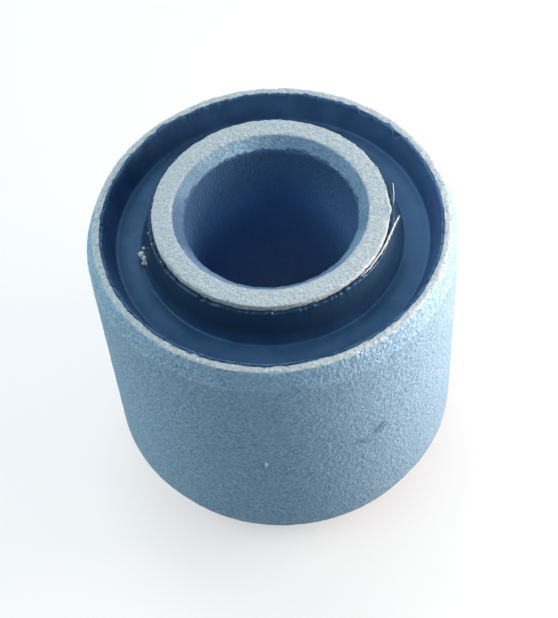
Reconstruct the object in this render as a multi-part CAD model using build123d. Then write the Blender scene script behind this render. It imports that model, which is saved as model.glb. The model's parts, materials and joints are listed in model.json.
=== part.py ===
from build123d import *
import os
from math import radians, tan

# Rubber metal bush: a steel outer sleeve and a steel inner sleeve with a rubber body moulded
# between them and bonded to both. Millimetres.
# +Z runs up the common axis. The origin is on the axis, in the lower end face of the inner
# sleeve, which stands proud of the outer sleeve at both ends. Both ends are alike.
# The radii are stacked from the bore outwards, so any one size can change by itself.

# Inner sleeve
bore_diameter = 16.0
inner_wall = 3.0
inner_projection = 1.75        # how far each end stands proud of the outer sleeve
bore_chamfer = 1.1             # at 45 degrees, at both mouths of the bore

# Outer sleeve
outer_wall = 1.5
outer_length = 29.0
lead_in_length = 2.0           # along the axis, outside, at both ends
lead_in_angle = 20.0           # from the axis, in degrees

# Rubber, from the inner sleeve outwards across one end
inner_film = 0.35              # on the inner sleeve, at the film's edge
inner_flank_run = 0.95         # radial, from the film's edge down to the floor
floor_width = 2.5              # radial, between the two flanks
outer_flank_run = 1.0          # radial, from the floor up to the film's edge
outer_film = 0.2               # on the outer sleeve, at the film's edge

# Rubber, along the axis at one end
inner_film_setback = 0.5       # from the inner sleeve's end face to the film's edge
outer_film_setback = 0.15      # from the outer sleeve's rim to the film's edge
floor_depth = 2.5              # from the outer sleeve's rim down to both edges of the floor
floor_crown = 0.12             # by which the floor's middle stands above its edges

# Radii
bore_radius = bore_diameter / 2
inner_sleeve_radius = bore_radius + inner_wall
inner_film_radius = inner_sleeve_radius + inner_film
floor_start = inner_film_radius + inner_flank_run
floor_end = floor_start + floor_width
outer_film_radius = floor_end + outer_flank_run
outer_sleeve_bore_radius = outer_film_radius + outer_film
outer_sleeve_radius = outer_sleeve_bore_radius + outer_wall

# Heights
inner_length = outer_length + 2 * inner_projection
middle = inner_length / 2
upper_rim = inner_projection + outer_length
floor_height = upper_rim - floor_depth
inner_film_edge = inner_length - inner_film_setback
outer_film_edge = upper_rim - outer_film_setback


def ring(section):
    """One turn of a section drawn in the XZ plane about the Z axis."""
    return revolve(section, axis=Axis.Z)


def inner_sleeve():
    """Thick tube with a 45 degree chamfer at both mouths of its bore."""
    mouth_radius = bore_radius + bore_chamfer
    section = Polyline(
        (mouth_radius, 0),
        (inner_sleeve_radius, 0),
        (inner_sleeve_radius, inner_length),
        (mouth_radius, inner_length),
        (bore_radius, inner_length - bore_chamfer),
        (bore_radius, bore_chamfer),
        close=True,
    )
    return ring(Plane.XZ * make_face(section))


def outer_sleeve():
    """Thin tube, its outside tapering in to a narrow flat rim at both ends."""
    rim_radius = outer_sleeve_radius - lead_in_length * tan(radians(lead_in_angle))
    section = Polyline(
        (outer_sleeve_bore_radius, inner_projection),
        (rim_radius, inner_projection),
        (outer_sleeve_radius, inner_projection + lead_in_length),
        (outer_sleeve_radius, upper_rim - lead_in_length),
        (rim_radius, upper_rim),
        (outer_sleeve_bore_radius, upper_rim),
        close=True,
    )
    return ring(Plane.XZ * make_face(section))


def rubber_end_profile():
    """The rubber's free surface at the upper end, from the inner sleeve out to the outer one.

    A channel with a gently crowned floor. Its flanks lean away from each other and thin out to a
    film on each sleeve.
    """
    inner_flank = Polyline(
        (inner_sleeve_radius, inner_film_edge),
        (inner_film_radius, inner_film_edge),
        (floor_start, floor_height),
    )
    floor = ThreePointArc(
        (floor_start, floor_height),
        (floor_start + floor_width / 2, floor_height + floor_crown),
        (floor_end, floor_height),
    )
    outer_flank = Polyline(
        (floor_end, floor_height),
        (outer_film_radius, outer_film_edge),
        (outer_sleeve_bore_radius, outer_film_edge),
    )
    return inner_flank + floor + outer_flank


def rubber_body():
    """Rubber between the sleeves, with the same channel in its upper and lower ends."""
    bonds = Polyline(
        (inner_sleeve_radius, inner_film_edge),
        (inner_sleeve_radius, middle),
        (outer_sleeve_bore_radius, middle),
        (outer_sleeve_bore_radius, outer_film_edge),
    )
    upper_half = ring(Plane.XZ * make_face(rubber_end_profile() + bonds))
    lower_half = mirror(upper_half, about=Plane.XY.offset(middle))
    return upper_half + lower_half


os.makedirs("parts", exist_ok=True)
export_step(outer_sleeve(), "parts/outer_sleeve.step")
export_step(inner_sleeve(), "parts/inner_sleeve.step")
export_step(rubber_body(), "parts/rubber_body.step")
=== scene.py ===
"""Looks of a rubber metal bush: two grit-blasted steel sleeves with a moulded rubber body between them.

Every size in the code is in millimetres, in the frame of the solids: +Z up the common axis, and the
origin in the lower end face of the inner sleeve. Meshes, lamps and the camera are turned into metres
where they are made. Azimuths are in degrees, from +X towards +Y.
"""

import json

import bpy
import numpy as np
from mathutils import Matrix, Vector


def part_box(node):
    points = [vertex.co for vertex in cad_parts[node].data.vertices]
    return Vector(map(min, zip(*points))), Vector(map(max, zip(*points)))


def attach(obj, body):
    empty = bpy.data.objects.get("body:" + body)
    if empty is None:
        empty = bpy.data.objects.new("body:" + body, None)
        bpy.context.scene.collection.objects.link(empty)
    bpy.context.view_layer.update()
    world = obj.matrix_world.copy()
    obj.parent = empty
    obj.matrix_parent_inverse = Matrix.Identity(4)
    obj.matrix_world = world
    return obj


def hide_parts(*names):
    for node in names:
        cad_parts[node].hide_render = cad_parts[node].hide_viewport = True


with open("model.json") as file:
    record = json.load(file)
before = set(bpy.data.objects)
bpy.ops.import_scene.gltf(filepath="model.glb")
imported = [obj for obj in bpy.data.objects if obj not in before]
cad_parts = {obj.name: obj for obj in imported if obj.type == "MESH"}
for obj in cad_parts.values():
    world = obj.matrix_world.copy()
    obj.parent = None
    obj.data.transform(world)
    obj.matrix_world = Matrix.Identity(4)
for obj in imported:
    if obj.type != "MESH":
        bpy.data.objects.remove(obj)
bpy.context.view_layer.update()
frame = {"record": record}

MM = 0.001

# ---------------------------------------------------------------- sizes read from the frame
mounts = {mount["name"]: mount for mount in frame["record"]["mounts"]}
outer_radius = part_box("outer_sleeve")[1][0] / MM
lower_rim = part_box("outer_sleeve")[0][2] / MM
upper_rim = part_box("outer_sleeve")[1][2] / MM
inner_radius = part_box("inner_sleeve")[1][0] / MM
inner_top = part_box("inner_sleeve")[1][2] / MM
film_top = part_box("rubber_body")[1][2] / MM
sleeve_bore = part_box("rubber_body")[1][0] / MM
bore_radius = mounts["bore"]["dims"]["r_mm"]
bore_chamfer = (inner_top - mounts["bore"]["dims"]["length_mm"]) / 2
lead_in = (upper_rim - lower_rim - mounts["outside"]["dims"]["length_mm"]) / 2

# ---------------------------------------------------------------- sizes of the forms within them
LEAD_IN_ANGLE = 20.0
INNER_FILM = 0.35
INNER_FLANK_RUN = 0.95
OUTER_FLANK_RUN = 1.0
OUTER_FILM = 0.2
OUTER_FILM_SETBACK = 0.15
FLOOR_DEPTH = 2.5
FLOOR_CROWN = 0.12
FLOOR_CORNER = 0.35

# ---------------------------------------------------------------- how finely the surfaces are divided
OUTER_COLUMNS = 740
INNER_COLUMNS = 480
RUBBER_COLUMNS = 770
HIDDEN_STEP = 3.0
EASING_STEP = 0.05
EASING_THIN_OUT = 4
STRAND_SIDES = 8
SLIVER_RINGS = 60
CRUMB_RINGS = 7


# ---------------------------------------------------------------- curves and noise
def trace(corners, step):
    """Points along a polyline of (radius, height) corners, spaced at most step apart.

    Each side from a to b gives a + (b - a) t, with t in equal parts from 0 and the end left out.
    """
    parts = []
    for start, end in zip(corners[:-1], corners[1:]):
        side = np.subtract(end, start)
        count = max(1, int(np.ceil(np.hypot(*side) / step)))
        share = np.arange(count)[:, None] / count
        parts.append(np.asarray(start) + side * share)
    return np.vstack(parts)


def arc(centre, radius, start, end, count):
    """Points on a circle: centre + radius (cos t, sin t), with t from start to end in degrees."""
    turn = np.radians(np.linspace(start, end, count))
    return np.column_stack([centre[0] + radius * np.cos(turn), centre[1] + radius * np.sin(turn)])


def eased(line, reach):
    """The line with its corners eased: a weighted running mean over this reach each way, the ends kept.

    The line is first divided finely, and only some of the eased points are kept.
    """
    dense = trace(line, EASING_STEP)
    count = int(round(reach / EASING_STEP))
    weights = np.hanning(2 * count + 3)[1:-1]
    weights = weights / weights.sum()
    before = 2 * dense[0] - dense[count:0:-1]
    after = 2 * dense[-1] - dense[-2 : -count - 2 : -1]
    padded = np.vstack([before, dense, after])
    smooth = np.column_stack([np.convolve(padded[:, k], weights, "valid") for k in range(2)])
    return np.vstack([smooth[:-1:EASING_THIN_OUT], smooth[-1:]])


def arc_length(section):
    """Distance along a closed section from its first point to each of its points."""
    sides = np.hypot(*np.diff(section, axis=0).T)
    return np.concatenate([[0.0], np.cumsum(sides)])


def blotches(turn, along, girth, cell, seed):
    """Smooth noise from 0 to 1 on an unrolled surface, whole round the axis.

    Random values sit at the corners of a lattice of cells about `cell` wide. Between them each way
    the value follows the smooth step 3 t^2 - 2 t^3. turn runs from 0 to 1 round the axis.
    """
    columns = max(3, int(round(girth / cell)))
    across = turn * columns
    up = (along - along.min()) / cell
    rows = int(up.max()) + 2
    lattice = np.random.default_rng(seed).random((rows + 1, columns))
    left = np.floor(across).astype(int)
    low = np.floor(up).astype(int)
    tx = across - left
    ty = up - low
    tx = tx * tx * (3 - 2 * tx)
    ty = ty * ty * (3 - 2 * ty)
    right = (left + 1) % columns
    left = left % columns
    bottom = lattice[low, left] * (1 - tx) + lattice[low, right] * tx
    top = lattice[low + 1, left] * (1 - tx) + lattice[low + 1, right] * tx
    return bottom * (1 - ty) + top * ty


def relief(turn, along, girth, layers):
    """Sum of the same noise in layers of (depth, cell, seed)."""
    total = np.zeros_like(turn)
    for depth, cell, seed in layers:
        total = total + depth * blotches(turn, along, girth, cell, seed)
    return total


# (how many times finer than the cell, strength) of each octave of a ragged line, and what scales their sum
RAGGED_OCTAVES = ((1.0, 0.8), (2.6, 0.8), (6.0, 0.6))
RAGGED_SCALE = 1.5


def ragged(turn, girth, cell, seed):
    """The same noise along one line round the axis, from about -1 to 1, with two finer octaves."""
    line = np.zeros_like(turn)
    total = line
    for order, (finer, strength) in enumerate(RAGGED_OCTAVES):
        total = total + strength * (2 * blotches(turn, line, girth, cell / finer, seed + order) - 1)
    return total / RAGGED_SCALE


def hump(value, centre, width):
    """Bell curve exp(-((value - centre) / width)^2)."""
    return np.exp(-(((value - centre) / width) ** 2))


def azimuth_gap(turn, azimuth):
    """Signed angle in degrees from an azimuth to each turn, wrapped to -180..180."""
    return (turn * 360 - azimuth + 180) % 360 - 180


# ---------------------------------------------------------------- meshes
def mesh_of(name, points, polygons, marks=None):
    """A smooth mesh from points in millimetres and a list of (count, corners) arrays of point numbers."""
    sizes = np.concatenate([np.full(len(group), group.shape[1]) for group in polygons])
    mesh = bpy.data.meshes.new(name)
    mesh.vertices.add(len(points))
    mesh.vertices.foreach_set("co", (points * MM).reshape(-1))
    mesh.loops.add(int(sizes.sum()))
    mesh.loops.foreach_set("vertex_index", np.concatenate([group.reshape(-1) for group in polygons]))
    mesh.polygons.add(len(sizes))
    mesh.polygons.foreach_set("loop_start", np.cumsum(sizes) - sizes)
    mesh.polygons.foreach_set("use_smooth", np.ones(len(sizes), dtype=bool))
    mesh.update()
    for title, values in (marks or {}).items():
        attribute = mesh.attributes.new(title, "FLOAT", "POINT")
        attribute.data.foreach_set("value", np.ascontiguousarray(values, dtype=np.float32).reshape(-1))
    mesh.validate()
    piece = bpy.data.objects.new(name, mesh)
    bpy.context.scene.collection.objects.link(piece)
    return piece


def solid_of_turn(name, radius, height, marks):
    """Closed ring: point (j, i) lies at radius[j, i], height[j, i] and angle 2 pi i / columns.

    Both directions close on themselves, so there is no seam and no pole. A section that runs
    anticlockwise in the (radius, height) plane gives faces that point outwards.
    """
    rows, columns = radius.shape
    angle = 2 * np.pi * np.arange(columns) / columns
    points = np.stack([radius * np.cos(angle), radius * np.sin(angle), height], axis=-1)
    j, i = np.meshgrid(np.arange(rows), np.arange(columns), indexing="ij")
    j_next = (j + 1) % rows
    i_next = (i + 1) % columns
    corners = [j * columns + i, j * columns + i_next, j_next * columns + i_next, j_next * columns + i]
    quads = np.stack(corners, axis=-1).reshape(-1, 4)
    return mesh_of(name, points.reshape(-1, 3), [quads], marks)


def closed_strands(name, rings):
    """Closed strands: rings[k, j, i] is point i round ring j of strand k.

    Quads join each ring to the next and a flat polygon closes each end. Rings turn anticlockwise
    as seen from the strand's last ring.
    """
    strands, count, around = rings.shape[:3]
    base = (np.arange(strands) * count * around)[:, None, None]
    j, i = np.meshgrid(np.arange(count - 1), np.arange(around), indexing="ij")
    i_next = (i + 1) % around
    corners = [j * around + i, j * around + i_next, (j + 1) * around + i_next, (j + 1) * around + i]
    quads = (np.stack(corners, axis=-1).reshape(1, -1, 4) + base).reshape(-1, 4)
    first = np.arange(around)[::-1]
    last = (count - 1) * around + np.arange(around)
    caps = (np.stack([first, last])[None] + base).reshape(-1, around)
    return mesh_of(name, rings.reshape(-1, 3), [quads, caps])


def grid_of(section, columns):
    """(turn, along, radius, height, across, up) arrays of a closed section carried round the axis.

    across and up are the section's outward normal, turned a quarter right from its direction.
    """
    ahead = np.roll(section, -1, axis=0) - np.roll(section, 1, axis=0)
    ahead /= np.maximum(np.hypot(*ahead.T), 1e-9)[:, None]
    along = arc_length(section)
    turn = np.arange(columns) / columns
    full = np.ones((len(section), columns))
    return (
        full * turn,
        full * along[:, None],
        full * section[:, :1],
        full * section[:, 1:],
        full * ahead[:, 1:],
        full * -ahead[:, :1],
    )


# ---------------------------------------------------------------- the two sleeves
# How far the finely divided rims reach into the bore
RIM_ZONE = 1.0
# (depth, cell, seed) of the outside's two sizes of pit and its waves
OUTSIDE_RELIEF = ((0.034, 0.46, 11), (0.03, 1.1, 12), (0.03, 6.0, 13))
# (azimuth, depth below the rim, (half-width round, half-height), how deep) of knocks in the outside
OUTSIDE_MARKS = (
    (-61.0, 13.4, (0.55, 0.5), 0.10),
    (-98.0, 15.1, (0.18, 0.34), 0.07),
    (-57.0, 2.5, (0.2, 0.2), 0.12),
)
# (azimuth, depth below the rim, (half-width round, half-height), darkening, or lightening below 0) of
# spots on the outside: dark stains at -60 to -69 degrees, a bright nick at -98 with painted shade of the
# nick at -99 and -97.2 beside it, and a darker spot in the knock at -57
OUTSIDE_STAINS_AND_SHADE = (
    (-62.2, 13.8, (0.42, 0.34), 0.8),
    (-61.2, 13.4, (0.5, 0.4), 0.9),
    (-60.2, 13.0, (0.45, 0.3), 0.7),
    (-68.6, 14.0, (0.6, 0.24), 0.7),
    (-66.6, 14.3, (0.4, 0.24), 0.9),
    (-64.8, 14.8, (0.5, 0.24), 0.6),
    (-98.0, 15.1, (0.16, 0.42), -1.5),
    (-99.0, 15.3, (0.16, 0.4), 1.0),
    (-97.2, 15.6, (0.14, 0.25), 0.8),
    (-57.0, 2.5, (0.2, 0.2), 1.0),
)


def spot_gap(turn, height, girth, azimuth, depth_below, size):
    """Distance from the middle of a spot on the outside, in half-widths round and half-heights along."""
    return np.hypot(
        azimuth_gap(turn, azimuth) * girth / 360 / size[0],
        (upper_rim - height - depth_below) / size[1],
    )


def outer_sleeve():
    """Thin tube with lead-ins, its outside and rims pitted by grit blasting, its edges ragged."""
    rim_radius = outer_radius - lead_in * np.tan(np.radians(LEAD_IN_ANGLE))
    hidden = trace(
        [(sleeve_bore, upper_rim - RIM_ZONE), (sleeve_bore, lower_rim + RIM_ZONE)], HIDDEN_STEP
    )
    lower = trace(
        [
            (sleeve_bore, lower_rim + RIM_ZONE),
            (sleeve_bore, lower_rim),
            (rim_radius, lower_rim),
            (outer_radius, lower_rim + lead_in),
        ],
        0.25,
    )
    outside = trace([(outer_radius, lower_rim + lead_in), (outer_radius, upper_rim - lead_in)], 0.34)
    upper = trace(
        [
            (outer_radius, upper_rim - lead_in),
            (rim_radius, upper_rim),
            (sleeve_bore, upper_rim),
            (sleeve_bore, upper_rim - RIM_ZONE),
        ],
        0.13,
    )
    section = np.vstack([lower, outside, upper, hidden])
    turn, along, radius, height, across, up = grid_of(section, OUTER_COLUMNS)
    girth = 2 * np.pi * outer_radius
    exposed = radius > sleeve_bore + 0.02
    sink = np.where(exposed, relief(turn, along, girth, OUTSIDE_RELIEF), 0.0)
    for edge_height, inward in ((upper_rim, -1), (lower_rim, 1)):
        near = hump(height, edge_height, 0.16)
        outer_edge = hump(radius, rim_radius, 0.14) * near
        inner_edge = hump(radius, sleeve_bore, 0.12) * near
        chips = 0.09 + 0.08 * ragged(turn, girth, 1.1, 21 + inward)
        burr = 0.08 + 0.07 * ragged(turn, girth, 1.0, 25 + inward)
        sink = sink + outer_edge * chips + inner_edge * burr
    for azimuth, depth_below, size, depth in OUTSIDE_MARKS:
        gap = spot_gap(turn, height, girth, azimuth, depth_below, size)
        sink = sink + depth * np.exp(-(gap**2)) * (radius > outer_radius - 1.0)
    # One colour mark for the outside: stains, the nick with painted shade beside it, and painted highlight
    stains_shade_and_highlight = np.zeros_like(turn)
    for azimuth, depth_below, size, amount in OUTSIDE_STAINS_AND_SHADE:
        wander = 0.35 * (blotches(turn, along, girth, 0.5, 31) - 0.5)
        gap = spot_gap(turn, height, girth, azimuth, depth_below, size)
        stains_shade_and_highlight = stains_shade_and_highlight + amount * np.exp(-((gap + wander) ** 2)) * (radius > sleeve_bore + 0.5)
    # Painted highlight: the outside is lightened in patches along the edges where the lead-ins meet it
    for edge in (upper_rim - lead_in, lower_rim + lead_in):
        patchy = blotches(turn, along, girth, 3.0, 33) * blotches(turn, along, girth, 0.6, 34)
        stains_shade_and_highlight = stains_shade_and_highlight - 0.4 * patchy * hump(height, edge, 0.16) * (radius > outer_radius - 0.5)
    # The flat rims are marked "end" for the paler copy of the steel, painted light
    rim = np.maximum(height - upper_rim, lower_rim - height) + 0.12
    marks = {"stain_shade_highlight": np.clip(stains_shade_and_highlight, -1, 1), "end": np.clip(rim / 0.1, 0, 1)}
    return solid_of_turn("outer_sleeve_surface", radius - across * sink, height - up * sink, marks)


# (azimuth, half-width in degrees, how far out) of burrs on the upper end's outer edge, or nicks below 0
RING_BURRS = (
    (-7.1, 2.0, 0.2),
    (-3.0, 4.0, 0.1),
    (-14.0, 3.0, -0.08),
    (4.0, 2.0, -0.06),
    (-148.0, 2.0, -0.08),
    (-60.0, 1.5, 0.1),
    (-112.0, 2.5, -0.08),
)


# (azimuth, half-width in degrees, how much more) painted shade on the chamfer: more on the left, and less
# at 110 and 150 degrees, where the paler chamfer is a painted reflection
CHAMFER_PAINTED_LIGHT = ((-172.0, 32.0, 0.4), (110.0, 20.0, -0.5), (150.0, 20.0, -0.1))


# How far the finely divided ends reach down the outside, and past the chamfer into the bore
END_ZONE = 2.2
MOUTH_ZONE = 1.0
# (depth, cell, seed) of the pits in the end faces, and of the uneven chamfer
END_RELIEF = ((0.026, 0.42, 41), (0.02, 1.0, 42))
CHAMFER_RELIEF = ((0.07, 1.0, 44), (0.04, 0.5, 45))


def inner_sleeve():
    """Thick tube with a chamfer at both mouths, its end faces pitted, its outer edge ragged and burred."""
    mouth = bore_radius + bore_chamfer
    outside = trace([(inner_radius, END_ZONE), (inner_radius, inner_top - END_ZONE)], 4.0)
    upper = trace(
        [
            (inner_radius, inner_top - END_ZONE),
            (inner_radius, inner_top),
            (mouth, inner_top),
            (bore_radius, inner_top - bore_chamfer),
            (bore_radius, inner_top - bore_chamfer - MOUTH_ZONE),
        ],
        0.12,
    )
    bore = trace(
        [
            (bore_radius, inner_top - bore_chamfer - MOUTH_ZONE),
            (bore_radius, bore_chamfer + MOUTH_ZONE),
        ],
        0.45,
    )
    lower = trace(
        [
            (bore_radius, bore_chamfer + MOUTH_ZONE),
            (bore_radius, bore_chamfer),
            (mouth, 0.0),
            (inner_radius, 0.0),
            (inner_radius, END_ZONE),
        ],
        0.12,
    )
    section = np.vstack([outside, upper, bore, lower])
    turn, along, radius, height, across, up = grid_of(section, INNER_COLUMNS)
    girth = 2 * np.pi * inner_radius
    end = (height > inner_top - bore_chamfer - 0.02) | (height < bore_chamfer + 0.02)
    turned = 0.006 * blotches(turn, along * 4, girth, 0.9, 43)
    sink = np.where(end, relief(turn, along, girth, END_RELIEF), turned)
    for edge_height, side in ((inner_top, 1), (0.0, 2)):
        near = hump(height, edge_height, 0.16)
        outer_edge = hump(radius, inner_radius, 0.14) * near
        chips = 0.07 + 0.07 * ragged(turn, girth, 1.3, 50 + side)
        mouth_edge = hump(radius, mouth, 0.12) * near
        worn = 0.05 + 0.05 * ragged(turn, girth, 1.3, 54 + side)
        sink = sink + outer_edge * chips + mouth_edge * worn
    corner = hump(radius, inner_radius, 0.25) * hump(height, inner_top, 0.3)
    for azimuth, width, amount in RING_BURRS:
        sink = sink - corner * amount * hump(azimuth_gap(turn, azimuth), 0, width)
    slope = np.clip((mouth - radius) / 0.2, 0, 1) * np.clip((radius - bore_radius) / 0.2, 0, 1)
    sink = sink + slope * relief(turn, along, girth, CHAMFER_RELIEF)
    lower_edge = hump(radius, bore_radius, 0.16) * hump(height, inner_top - bore_chamfer, 0.22)
    sink = sink + lower_edge * 0.09 * (1 + ragged(turn, girth, 1.2, 58))
    dark = 1 - np.clip((radius - bore_radius - 0.1 - 0.14 * ragged(turn, girth, 1.3, 59)) / 0.06, 0, 1)
    dark = np.where(radius > mouth - 0.02, 0.0, np.where(radius < bore_radius + 0.01, 1.0, dark))
    # The end face is marked "end" for the paler copy of the steel, painted light
    face = np.clip((radius - mouth + 0.12) / 0.1, 0, 1)
    # Painted shade on the chamfer, uneven in patches, and more or less by azimuth from the table
    chamfer_shade = 0.45 + 0.4 * blotches(turn, along, girth, 2.5, 60)
    for azimuth, width, amount in CHAMFER_PAINTED_LIGHT:
        chamfer_shade = chamfer_shade + amount * hump(azimuth_gap(turn, azimuth), 0, width)
    chamfer_shade = chamfer_shade * (1 - face)
    # How far into the bore, 0 at the mouths and 1 in the middle: deeper in, the colour is painted paler as
    # painted light
    depth = 1 - np.abs(height - inner_top / 2) / (inner_top / 2 - bore_chamfer)
    marks = {"bore": dark, "end": face, "chamfer": np.clip(chamfer_shade, 0, 1), "depth": np.clip(depth, 0, 1)}
    return solid_of_turn("inner_sleeve_surface", radius - across * sink, height - up * sink, marks)


# ---------------------------------------------------------------- the rubber
def rubber_end():
    """One end of the rubber from the inner sleeve out: film, flank, crowned floor, flank and film.

    Returns (radius, height above the outer rim) rows of the upper end, and a part for each of them: 1 on
    the inner flank, 2 on the inner film's edge, 3 on the outer flank, 4 on the outer film's edge, else 0.
    """
    inner_film_radius = inner_radius + INNER_FILM
    floor_start = inner_film_radius + INNER_FLANK_RUN
    outer_film_radius = sleeve_bore - OUTER_FILM
    floor_end = outer_film_radius - OUTER_FLANK_RUN
    inner_edge = film_top - upper_rim
    half = (floor_end - floor_start) / 2
    bow = (half**2 + FLOOR_CROWN**2) / (2 * FLOOR_CROWN)
    spread = np.degrees(np.arcsin(half / bow))
    centre = (floor_start + half, FLOOR_CROWN - FLOOR_DEPTH - bow)
    inner_face = trace([(inner_radius, inner_edge), (inner_film_radius, inner_edge)], 0.12)
    floor = arc(centre, bow, 90 + spread, 90 - spread, 16)
    outer_top = (outer_film_radius, -OUTER_FILM_SETBACK)
    channel = eased(np.vstack([(inner_film_radius, inner_edge), floor, outer_top]), FLOOR_CORNER)
    place = np.where(channel[:, 0] < floor_start, 1, np.where(channel[:, 0] > floor_end, 3, 0))
    outer_face = trace([(outer_film_radius, -OUTER_FILM_SETBACK), (sleeve_bore, -OUTER_FILM_SETBACK)], 0.06)
    points = np.vstack([inner_face[:-1], channel, outer_face[1:]])
    part = np.concatenate([np.full(len(inner_face) - 1, 2), place, np.full(len(outer_face) - 1, 4)])
    return points, part


# (azimuth, half-width in degrees, how far) by which the upper end's outer film climbs over the rim, or
# falls short of it below 0, on top of its random edge
FLASH_OUTER = (
    (163.5, 2.0, 0.15),
    (159.0, 2.5, -0.2),
    (131.0, 1.0, -0.12),
    (127.0, 2.6, 0.34),
    (114.0, 2.0, 0.2),
    (108.5, 2.5, -0.2),
    (75.0, 4.5, 0.36),
    (61.0, 2.2, 0.2),
    (55.0, 2.0, 0.48),
    (51.8, 1.2, -0.15),
    (48.0, 2.0, 0.14),
    (41.0, 2.2, 0.46),
    (36.2, 1.3, -0.38),
    (30.0, 2.0, 0.13),
    (27.0, 1.2, -0.12),
    (21.0, 2.0, 0.18),
    (15.0, 2.0, -0.12),
    (-10.0, 14.0, -0.1),
    (-24.0, 3.0, 0.06),
    (-90.0, 30.0, 0.07),
)


# (azimuth, half-width in degrees) of the side of the channel painted lighter and bluer: painted light
PAINTED_LIGHT_SIDE = (8.0, 36.0)
# (depth, cell, seed) of the waves in the floor
FLOOR_RELIEF = ((0.03, 2.5, 61), (0.012, 0.5, 62))
# Powers of the share of a flank's height by which its film's ragged edge fades towards the floor
INNER_FADE = 6
OUTER_FADE = 8


def rubber_body():
    """The moulding, both ends alike but for the run of their ragged films."""
    end, part = rubber_end()
    upper = end + (0, upper_rim)
    lower = np.column_stack([end[:, 0], lower_rim - end[:, 1]])
    inner_bond = trace([(inner_radius, inner_top - film_top), (inner_radius, film_top)], HIDDEN_STEP)
    outer_bond = trace(
        [(sleeve_bore, upper_rim - OUTER_FILM_SETBACK), (sleeve_bore, lower_rim + OUTER_FILM_SETBACK)],
        HIDDEN_STEP,
    )
    # Anticlockwise: in along the upper end, down the inner bond, out along the lower end, up the outer one.
    section = np.vstack([upper[::-1], inner_bond[::-1], lower, outer_bond[::-1]])
    parts = np.concatenate([part[::-1], np.zeros(len(inner_bond)), part, np.zeros(len(outer_bond))])
    end_of = np.concatenate(
        [np.ones(len(upper)), np.zeros(len(inner_bond)), -np.ones(len(lower)), np.zeros(len(outer_bond))]
    )
    turn, along, radius, height, across, up = grid_of(section, RUBBER_COLUMNS)
    girth = 2 * np.pi * sleeve_bore
    part = parts[:, None] * np.ones_like(turn)
    side = end_of[:, None] * np.ones_like(turn)
    free = side != 0
    sink = np.where(free & (part == 0), relief(turn, along, girth, FLOOR_RELIEF), 0.0)
    radius = radius - across * sink
    height = height - up * sink
    painted_flank_shade = np.zeros_like(turn)
    for direction, seed in ((1, 70), (-1, 80)):
        here = side == direction
        rim = upper_rim if direction > 0 else lower_rim
        # inner flank: stretched from the floor to a film whose edge runs up and down
        edge = 0.18 * ragged(turn, girth, 1.8, seed) - 0.08
        base = rim - direction * FLOOR_DEPTH
        top = film_top if direction > 0 else inner_top - film_top
        share = np.clip((height - base) / (top - base), 0, 1)
        wall = here & ((part == 1) | (part == 2))
        height = np.where(wall, height + direction * edge * share**INNER_FADE, height)
        # Painted shade on the inner flank and the film's edge, full from 0.4 of the way up
        painted_flank_shade = np.where(wall, np.clip(2.5 * share, 0, 1), painted_flank_shade)
        rough = 0.05 * ragged(turn, girth, 1.5, seed + 3)
        radius = np.where(here & (part == 1), radius - rough * share**INNER_FADE, radius)
        # outer flank: its film climbs over the rim at some places and falls short at others
        climb = 0.28 * ragged(turn, girth, 1.3, seed + 6)
        if direction > 0:
            for azimuth, width, amount in FLASH_OUTER:
                climb = climb + amount * hump(azimuth_gap(turn, azimuth), 0, width)
        over = np.clip(climb, 0, None)
        face = here & (part == 4)
        out = np.clip((radius - (sleeve_bore - OUTER_FILM)) / OUTER_FILM, 0, 1)
        lift = np.where(climb > 0.02, OUTER_FILM_SETBACK + 0.03, OUTER_FILM_SETBACK * 0.4 + climb)
        height = np.where(face, height + direction * lift, height)
        radius = np.where(face, radius + over * out, radius)
        far = here & (part == 3)
        rise = np.clip((direction * (height - rim) + FLOOR_DEPTH) / (FLOOR_DEPTH - OUTER_FILM_SETBACK), 0, 1)
        height = np.where(far, height + direction * lift * rise**OUTER_FADE, height)
        wobble = 0.04 * ragged(turn, girth, 1.3, seed + 9)
        radius = np.where(far, radius + wobble * rise**OUTER_FADE, radius)
    outward = np.clip((radius - inner_radius - 1.0) / 3.0, 0, 1)
    # Painted light on the channel's right side: on the floor growing outwards, less on the outer flank and
    # film
    azimuth, width = PAINTED_LIGHT_SIDE
    painted_light_share = hump(azimuth_gap(turn, azimuth), 0, width) * np.where(part == 0, 0.15 + 0.85 * outward**2, 0.35)
    painted_light_share = np.where(free & (part != 1) & (part != 2), painted_light_share, 0.0)
    return solid_of_turn("rubber_body_surface", radius, height, {"painted_flank_shade": painted_flank_shade, "painted_light_share": painted_light_share})


# ---------------------------------------------------------------- torn film and crumbs
# Points (azimuth, radius, height above the outer rim, half-width) along each torn edge of the inner film.
TORN_EDGES = (
    (
        (-8.6, 11.84, 1.30, 0.04),
        (-9.6, 11.76, 1.31, 0.09),
        (-14.0, 11.50, 1.32, 0.08),
        (-20.0, 11.32, 1.33, 0.10),
        (-27.0, 11.24, 1.33, 0.08),
        (-34.0, 11.20, 1.32, 0.08),
        (-48.0, 11.16, 1.28, 0.03),
    ),
    (
        (10.4, 11.76, 1.32, 0.02),
        (8.0, 11.66, 1.32, 0.04),
        (4.0, 11.53, 1.32, 0.035),
        (-1.0, 11.38, 1.30, 0.02),
    ),
)
TORN_EDGE_HALF_THICKNESS = 0.04


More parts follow.
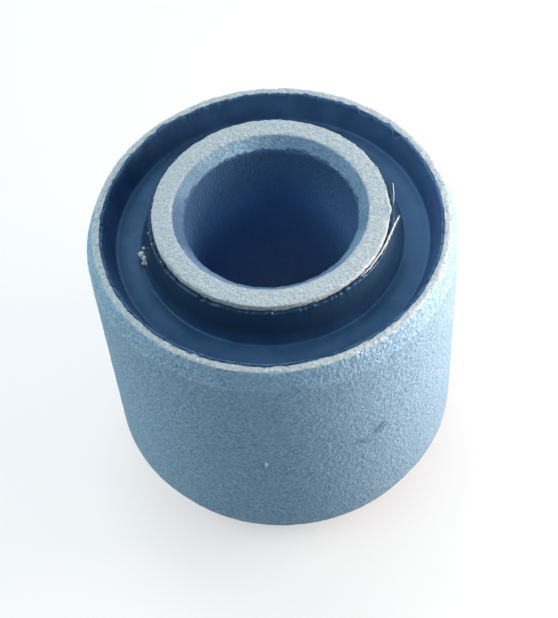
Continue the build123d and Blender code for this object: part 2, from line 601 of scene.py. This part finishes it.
def torn_edges():
    """Slivers of film that stand off the inner sleeve: narrow strips along slightly shaken paths.

    Ring j has its centre on the path, and its points at (half-width cos t) outwards and
    (half-thickness sin t) upwards.
    """
    around = np.radians(np.arange(STRAND_SIDES) * 360.0 / STRAND_SIDES)
    share = np.linspace(0, 1, SLIVER_RINGS)
    strands = []
    for seed, path in enumerate(TORN_EDGES):
        azimuth, radius, height, half_width = np.transpose(path)
        steps = np.linspace(0, 1, len(path))
        turn = np.radians(np.interp(share, steps, azimuth))
        shake = np.random.default_rng(90 + seed).normal(size=(3, len(share)))
        away = np.interp(share, steps, radius) + 0.02 * shake[0]
        rise = np.interp(share, steps, height) + 0.015 * shake[1]
        wide = np.interp(share, steps, half_width) * (1 + 0.2 * shake[2].clip(-1.5, 1.5))
        reach = away[:, None] + wide[:, None] * np.cos(around)
        lift = upper_rim + rise[:, None] + TORN_EDGE_HALF_THICKNESS * np.sin(around)
        turn = turn[:, None]
        strands.append(np.stack([reach * np.cos(turn), reach * np.sin(turn), lift], axis=-1))
    return closed_strands("torn_film_edges", np.stack(strands))


# (azimuth, radius, height above the outer rim, half-size) of crumbs on the rubber
CRUMBS = (
    (-173.4, 12.22, -1.80, 0.42),
    (-170.9, 12.12, -1.78, 0.33),
    (-168.9, 12.08, -1.84, 0.22),
    (-175.2, 12.42, -2.02, 0.24),
    (-175.8, 12.05, -1.42, 0.16),
    (-170.2, 12.36, -2.1, 0.18),
    (-174.3, 11.40, 1.10, 0.07),
    (-167.0, 11.32, 1.24, 0.08),
    (-169.9, 11.68, 0.08, 0.05),
    (-155.5, 11.26, 1.26, 0.06),
)


def crumbs():
    """Lumps of film: each is a ball of rings whose points are drawn in or out at random."""
    polar = np.radians(np.linspace(10, 170, CRUMB_RINGS))[:, None]
    around = np.radians(np.arange(STRAND_SIDES) * 360.0 / STRAND_SIDES)[None]
    ball = np.stack(
        [np.sin(polar) * np.cos(around), np.sin(polar) * np.sin(around), -np.cos(polar) + 0 * around],
        axis=-1,
    )
    strands = []
    for seed, (azimuth, radius, height, size) in enumerate(CRUMBS):
        uneven = np.random.default_rng(120 + seed).uniform(0.5, 1.35, size=(CRUMB_RINGS, STRAND_SIDES, 1))
        turn = np.radians(azimuth)
        centre = np.array([radius * np.cos(turn), radius * np.sin(turn), upper_rim + height])
        strands.append(centre + ball * uneven * size)
    return closed_strands("film_crumbs", np.stack(strands))


# ---------------------------------------------------------------- materials
def nodes_of(name):
    """A new material's (material, node tree, shader) with the default nodes kept."""
    material = bpy.data.materials.new(name)
    material.use_nodes = True
    return material, material.node_tree, material.node_tree.nodes["Principled BSDF"]


def noise(tree, scale, detail=2.0, roughness=0.5):
    """A noise on Object coordinates; scale is in features for each metre."""
    place = tree.nodes.new("ShaderNodeTexCoord")
    node = tree.nodes.new("ShaderNodeTexNoise")
    node.inputs["Scale"].default_value = scale
    node.inputs["Detail"].default_value = detail
    node.inputs["Roughness"].default_value = roughness
    tree.links.new(place.outputs["Object"], node.inputs["Vector"])
    return node.outputs["Fac"]


def ramp(tree, value, stops):
    """A colour ramp of (place, colour) stops."""
    node = tree.nodes.new("ShaderNodeValToRGB")
    elements = node.color_ramp.elements
    elements[0].position, elements[0].color = stops[0][0], (*stops[0][1], 1)
    elements[1].position, elements[1].color = stops[1][0], (*stops[1][1], 1)
    for place, colour in stops[2:]:
        elements.new(place).color = (*colour, 1)
    tree.links.new(value, node.inputs["Fac"])
    return node.outputs["Color"]


def blend(tree, share, first, second):
    """Mix of two colours, each a socket or an RGB triple."""
    node = tree.nodes.new("ShaderNodeMix")
    node.data_type = "RGBA"
    tree.links.new(share, node.inputs["Factor"])
    for value, socket in ((first, node.inputs["A"]), (second, node.inputs["B"])):
        if isinstance(value, tuple):
            socket.default_value = (*value, 1)
        else:
            tree.links.new(value, socket)
    return node.outputs["Result"]


def mark(tree, name):
    """A vertex attribute as a value."""
    node = tree.nodes.new("ShaderNodeAttribute")
    node.attribute_name = name
    return node.outputs["Fac"]


def combined(tree, operation, first, second):
    """Math node of two values, each a socket or a number."""
    node = tree.nodes.new("ShaderNodeMath")
    node.operation = operation
    for value, socket in ((first, node.inputs[0]), (second, node.inputs[1])):
        if isinstance(value, float):
            socket.default_value = value
        else:
            tree.links.new(value, socket)
    return node.outputs["Value"]


def scaled(tree, value, factor, offset=0.0):
    """value times factor plus offset, kept from 0 to 1."""
    node = tree.nodes.new("ShaderNodeMath")
    node.operation = "MULTIPLY_ADD"
    node.use_clamp = True
    node.inputs[1].default_value = factor
    node.inputs[2].default_value = offset
    tree.links.new(value, node.inputs[0])
    return node.outputs["Value"]


def bump(tree, shader, value, distance, strength=1.0, under=None):
    """Relief of value, distance metres high, on the shader's normal."""
    node = tree.nodes.new("ShaderNodeBump")
    node.inputs["Distance"].default_value = distance
    node.inputs["Strength"].default_value = strength
    tree.links.new(value, node.inputs["Height"])
    if under is not None:
        tree.links.new(under, node.inputs["Normal"])
    tree.links.new(node.outputs["Normal"], shader.inputs["Normal"])
    return node.outputs["Normal"]


OUTSIDE_LIGHT = (0.30, 0.48, 0.65)
OUTSIDE_DARK = (0.115, 0.235, 0.37)
OUTSIDE_CLOUD = (0.21, 0.37, 0.52)
# A paler, greyer copy of the steel for the ends and rims: painted light
END_LIGHT = (0.44, 0.52, 0.58)
END_DARK = (0.25, 0.34, 0.41)
END_CLOUD = (0.35, 0.43, 0.50)
# Dark of the stains, also the painted shade beside the nick
STEEL_STAIN_AND_SHADE = (0.07, 0.17, 0.28)
# Bright of the nick, also the painted highlight along the lead-in edges
STEEL_BRIGHT = (0.8, 0.88, 0.92)
# Painted shade of the chamfer
CHAMFER_SHADE_COLOUR = (0.05, 0.13, 0.25)
# Dark scale of the bore at its mouths, and the paler colour painted deeper in as painted light
BORE_MOUTH = (0.03, 0.09, 0.21)
BORE_DEEP_PAINTED_LIGHT = (0.09, 0.24, 0.5)
TORN_FILM = (0.45, 0.53, 0.59)
RUBBER_DARK = (0.019, 0.054, 0.135)
RUBBER_LIGHT = (0.030, 0.078, 0.18)
# Painted shade of the inner flank
RUBBER_FLANK_SHADE = (0.008, 0.025, 0.06)
# Painted light of the channel's right side
RUBBER_PAINTED_LIGHT = (0.09, 0.19, 0.40)


def blasted_steel(name, fineness=1.0):
    """Grit-blasted, lightly oxidised steel: light and dark specks under 0.5 mm over soft cloudy patches.

    The ends and rims, where the mark "end" is 1, are painted paler and greyer than the walls: painted light.
    """
    material, tree, shader = nodes_of(name)
    grain = noise(tree, 3300 * fineness, 3.0, 0.6)
    wall = ramp(tree, grain, [(0.34, OUTSIDE_DARK), (0.66, OUTSIDE_LIGHT)])
    end = ramp(tree, grain, [(0.36, END_DARK), (0.64, END_LIGHT)])
    clouds = scaled(tree, noise(tree, 330 * fineness, 2.0), 1.2, -0.35)
    ends = mark(tree, "end")
    specks = blend(tree, ends, wall, end)
    colour = blend(tree, clouds, specks, blend(tree, ends, OUTSIDE_CLOUD, END_CLOUD))
    shader.inputs["Metallic"].default_value = 0.3
    rough = scaled(tree, noise(tree, 2300, 2.0), 0.3, 0.48)
    tree.links.new(rough, shader.inputs["Roughness"])
    tree.links.new(colour, shader.inputs["Base Color"])
    fine = bump(tree, shader, noise(tree, 4600, 2.0, 0.6), 0.00007)
    bump(tree, shader, noise(tree, 2600, 2.0, 0.6), 0.00018, 1.0, fine)
    return material, tree, shader, colour


def outer_steel():
    """Blasted steel with the outside's dark stains and bright nick, painted shade beside the nick,
    and a patchy painted highlight along the lead-in edges.
    """
    material, tree, shader, colour = blasted_steel("blasted_outer_steel")
    # Darker where stained and where shade is painted; lighter at the nick and where highlight is painted
    stained_and_shaded = blend(tree, scaled(tree, mark(tree, "stain_shade_highlight"), 1.0), colour, STEEL_STAIN_AND_SHADE)
    nicked_and_highlit = blend(tree, scaled(tree, mark(tree, "stain_shade_highlight"), -1.0), stained_and_shaded, STEEL_BRIGHT)
    tree.links.new(nicked_and_highlit, shader.inputs["Base Color"])
    return material


def inner_steel():
    """Blasted steel on the ends, a chamfer darkened by painted shade, and a dark scaled bore
    that is painted paler deep down as painted light.
    """
    material, tree, shader, colour = blasted_steel("blasted_inner_steel", 1.1)
    # The bore's dark scale, painted paler with depth as painted light
    scale = blend(tree, scaled(tree, mark(tree, "depth"), 2.2), BORE_MOUTH, BORE_DEEP_PAINTED_LIGHT)
    # The chamfer darkened: painted shade
    chamfer_shade = blend(tree, mark(tree, "chamfer"), colour, CHAMFER_SHADE_COLOUR)
    tree.links.new(blend(tree, mark(tree, "bore"), chamfer_shade, scale), shader.inputs["Base Color"])
    return material


def moulded_rubber():
    """Dark rubber, satin, in soft patches and with a fine moulded grain;
    painted light on the channel's right side, painted shade on the inner flank.
    """
    material, tree, shader = nodes_of("moulded_rubber")
    clean = ramp(tree, noise(tree, 500, 3.0), [(0.35, RUBBER_DARK), (0.7, RUBBER_LIGHT)])
    # Lighter and bluer on the right side: painted light
    lit_side_colour = blend(tree, mark(tree, "painted_light_share"), clean, RUBBER_PAINTED_LIGHT)
    # Darker on the inner flank: painted shade
    colour = blend(tree, mark(tree, "painted_flank_shade"), lit_side_colour, RUBBER_FLANK_SHADE)
    tree.links.new(colour, shader.inputs["Base Color"])
    tree.links.new(scaled(tree, noise(tree, 700, 2.0), 0.2, 0.34), shader.inputs["Roughness"])
    shader.inputs["Specular IOR Level"].default_value = 0.6
    shader.inputs["Specular Tint"].default_value = (0.25, 0.6, 1.0, 1.0)
    fine = bump(tree, shader, noise(tree, 4200, 2.0), 0.000012)
    bump(tree, shader, noise(tree, 900, 2.0), 0.00002, 1.0, fine)
    return material


def torn_rubber():
    """Torn edge of the film: pale, dull and covered in dust."""
    material, tree, shader = nodes_of("torn_rubber")
    shader.inputs["Base Color"].default_value = (*TORN_FILM, 1)
    shader.inputs["Roughness"].default_value = 0.55
    bump(tree, shader, noise(tree, 6000, 2.0), 0.00003)
    return material


# ---------------------------------------------------------------- stage, light and camera
FLOOR_HALF = 3.0
FLOOR_COLOUR = (0.22, 0.25, 0.28)
# The floor glows by itself: how strongly, and what share of that the reflections get
FLOOR_GLOW_COLOUR = (0.995, 0.99, 0.985)
FLOOR_GLOW = 0.68
GLOSSY_SHARE = 0.6
# Under the bush the glow falls to a share, and it is whole again past the outer distance
SHADE_CENTRE = (8, -12, 0)
SHADE_INNER = 12
SHADE_OUTER = 30
SHADE_SHARE = 0.82


def white_floor():
    """A large pale floor that glows for the camera, less for reflections, and dims under the bush."""
    half = FLOOR_HALF
    corners = [(-half, -half, 0), (half, -half, 0), (half, half, 0), (-half, half, 0)]
    mesh = bpy.data.meshes.new("floor")
    mesh.from_pydata(corners, [], [(0, 1, 2, 3)])
    floor = bpy.data.objects.new("floor", mesh)
    bpy.context.scene.collection.objects.link(floor)
    material, tree, shader = nodes_of("pale_floor")
    shader.inputs["Base Color"].default_value = (*FLOOR_COLOUR, 1)
    shader.inputs["Roughness"].default_value = 0.9
    shader.inputs["Specular IOR Level"].default_value = 0.1
    path = tree.nodes.new("ShaderNodeLightPath")
    reflected = scaled(tree, path.outputs["Is Glossy Ray"], GLOSSY_SHARE)
    seen = combined(tree, "MAXIMUM", path.outputs["Is Camera Ray"], reflected)
    place = tree.nodes.new("ShaderNodeTexCoord")
    away = tree.nodes.new("ShaderNodeVectorMath")
    away.operation = "DISTANCE"
    away.inputs[1].default_value = [value * MM for value in SHADE_CENTRE]
    tree.links.new(place.outputs["Object"], away.inputs[0])
    dim = tree.nodes.new("ShaderNodeMapRange")
    dim.interpolation_type = "SMOOTHSTEP"
    dim.inputs["From Min"].default_value = SHADE_INNER * MM
    dim.inputs["From Max"].default_value = SHADE_OUTER * MM
    dim.inputs["To Min"].default_value = SHADE_SHARE
    dim.inputs["To Max"].default_value = 1.0
    tree.links.new(away.outputs["Value"], dim.inputs["Value"])
    glow = combined(tree, "MULTIPLY", combined(tree, "MULTIPLY", seen, dim.outputs["Result"]), FLOOR_GLOW)
    shader.inputs["Emission Color"].default_value = (*FLOOR_GLOW_COLOUR, 1)
    tree.links.new(glow, shader.inputs["Emission Strength"])
    mesh.materials.append(material)


def softbox(name, azimuth, elevation, distance, size, power, colour):
    """A square area lamp facing the bush. Angles in degrees, lengths in metres, power in watts."""
    turn, rise = np.radians([azimuth, elevation])
    away = np.array([np.cos(rise) * np.cos(turn), np.cos(rise) * np.sin(turn), np.sin(rise)])
    lamp = bpy.data.lights.new(name, "AREA")
    lamp.shape = "SQUARE"
    lamp.size = size
    lamp.energy = power
    lamp.color = colour
    item = bpy.data.objects.new(name, lamp)
    bpy.context.scene.collection.objects.link(item)
    side = np.array([-np.sin(turn), np.cos(turn), 0])
    place = away * distance + np.array([0, 0, inner_top * MM / 2])
    rows = np.column_stack([side, np.cross(away, side), away, place]).tolist() + [[0, 0, 0, 1]]
    item.matrix_world = Matrix(rows)


# (name, azimuth, elevation, distance, size, watts, colour)
SOFTBOXES = (
    ("key_right", 3, 15, 0.105, 0.065, 0.22, (1.0, 0.73, 0.57)),
    ("key_front_right", -30, 28, 0.068, 0.04, 0.033, (1.0, 0.86, 0.75)),
    ("fill_left", -164, 18, 0.5, 0.3, 0.72, (1.0, 1.0, 0.82)),
    ("fill_back_left", 156, 12, 0.5, 0.3, 0.55, (0.85, 0.96, 0.82)),
    ("left_high", 178, 48, 0.5, 0.3, 1.2, (0.95, 0.88, 0.80)),
    ("back_high", 88, 52, 0.5, 0.3, 0.6, (0.92, 0.94, 0.86)),
    ("back_low", 95, 20, 0.5, 0.3, 0.95, (0.88, 0.90, 0.94)),
    ("back_right", 45, 40, 0.5, 0.3, 0.55, (0.9, 0.95, 0.8)),
    ("front_top", -90, 66, 0.5, 0.3, 0.18, (0.6, 1.0, 0.95)),
)


ROOM_COLOUR = (0.15, 0.5, 1.0)
ROOM_STRENGTH = 0.16


def lights():
    """Soft studio light: near boxes low on the right, weaker far ones round the rest, a dim blue room.

    The camera sees the room as white.
    """
    for box in SOFTBOXES:
        softbox(*box)
    world = bpy.data.worlds.new("room")
    bpy.context.scene.world = world
    world.use_nodes = True
    tree = world.node_tree
    room = tree.nodes["Background"]
    room.inputs["Color"].default_value = (*ROOM_COLOUR, 1)
    room.inputs["Strength"].default_value = ROOM_STRENGTH
    white = tree.nodes.new("ShaderNodeBackground")
    white.inputs["Color"].default_value = (1, 1, 1, 1)
    white.inputs["Strength"].default_value = 1.0
    path = tree.nodes.new("ShaderNodeLightPath")
    mix = tree.nodes.new("ShaderNodeMixShader")
    tree.links.new(path.outputs["Is Camera Ray"], mix.inputs["Fac"])
    tree.links.new(room.outputs["Background"], mix.inputs[1])
    tree.links.new(white.outputs["Background"], mix.inputs[2])
    tree.links.new(mix.outputs["Shader"], tree.nodes["World Output"].inputs["Surface"])


# Angles in degrees, distance and sensor in millimetres, focal length and frame height in pixels
CAMERA_DISTANCE = 142.70
CAMERA_ELEVATION = 51.602
CAMERA_ROLL = 4.920
CAMERA_PAN = 0.010
CAMERA_TILT = -3.312
FOCAL_PIXELS = 1535.8
FRAME_HEIGHT_PIXELS = 618
SENSOR = 36.0


def camera():
    """Camera in front of the bush and above it.

    It is aimed at the middle of the upper rim, then panned, tilted and rolled.
    """
    rise, pan, tilt, roll = np.radians([CAMERA_ELEVATION, CAMERA_PAN, CAMERA_TILT, CAMERA_ROLL])
    right = np.array([1.0, 0, 0])
    back = np.array([0, -np.cos(rise), np.sin(rise)])
    up = np.array([0, np.sin(rise), np.cos(rise)])
    panned = np.cos(pan) * right + np.sin(pan) * back
    forward = np.sin(pan) * right - np.cos(pan) * back
    tilted = np.cos(tilt) * up - np.sin(tilt) * forward
    forward = np.sin(tilt) * up + np.cos(tilt) * forward
    x_axis = np.cos(roll) * panned - np.sin(roll) * tilted
    y_axis = np.sin(roll) * panned + np.cos(roll) * tilted
    place = (np.array([0, 0, upper_rim]) + back * CAMERA_DISTANCE) * MM
    data = bpy.data.cameras.new("camera")
    data.sensor_width = SENSOR
    data.lens = FOCAL_PIXELS / FRAME_HEIGHT_PIXELS * SENSOR
    data.clip_start = 0.005
    item = bpy.data.objects.new("camera", data)
    item.matrix_world = Matrix(np.column_stack([x_axis, y_axis, -forward, place]).tolist() + [[0, 0, 0, 1]])
    bpy.context.scene.collection.objects.link(item)
    bpy.context.scene.camera = item


# ---------------------------------------------------------------- the scene
def dress(piece, node, material):
    """The piece stands for a solid, rides with it and takes its slot."""
    piece.data.materials.append(material)
    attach(piece, "root")
    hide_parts(node)


dress(outer_sleeve(), "outer_sleeve", outer_steel())
dress(inner_sleeve(), "inner_sleeve", inner_steel())
dress(rubber_body(), "rubber_body", moulded_rubber())
torn = torn_rubber()
for piece in (torn_edges(), crumbs()):
    piece.data.materials.append(torn)
    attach(piece, "root")
white_floor()
lights()
camera()
bpy.context.scene.view_settings.view_transform = "Standard"
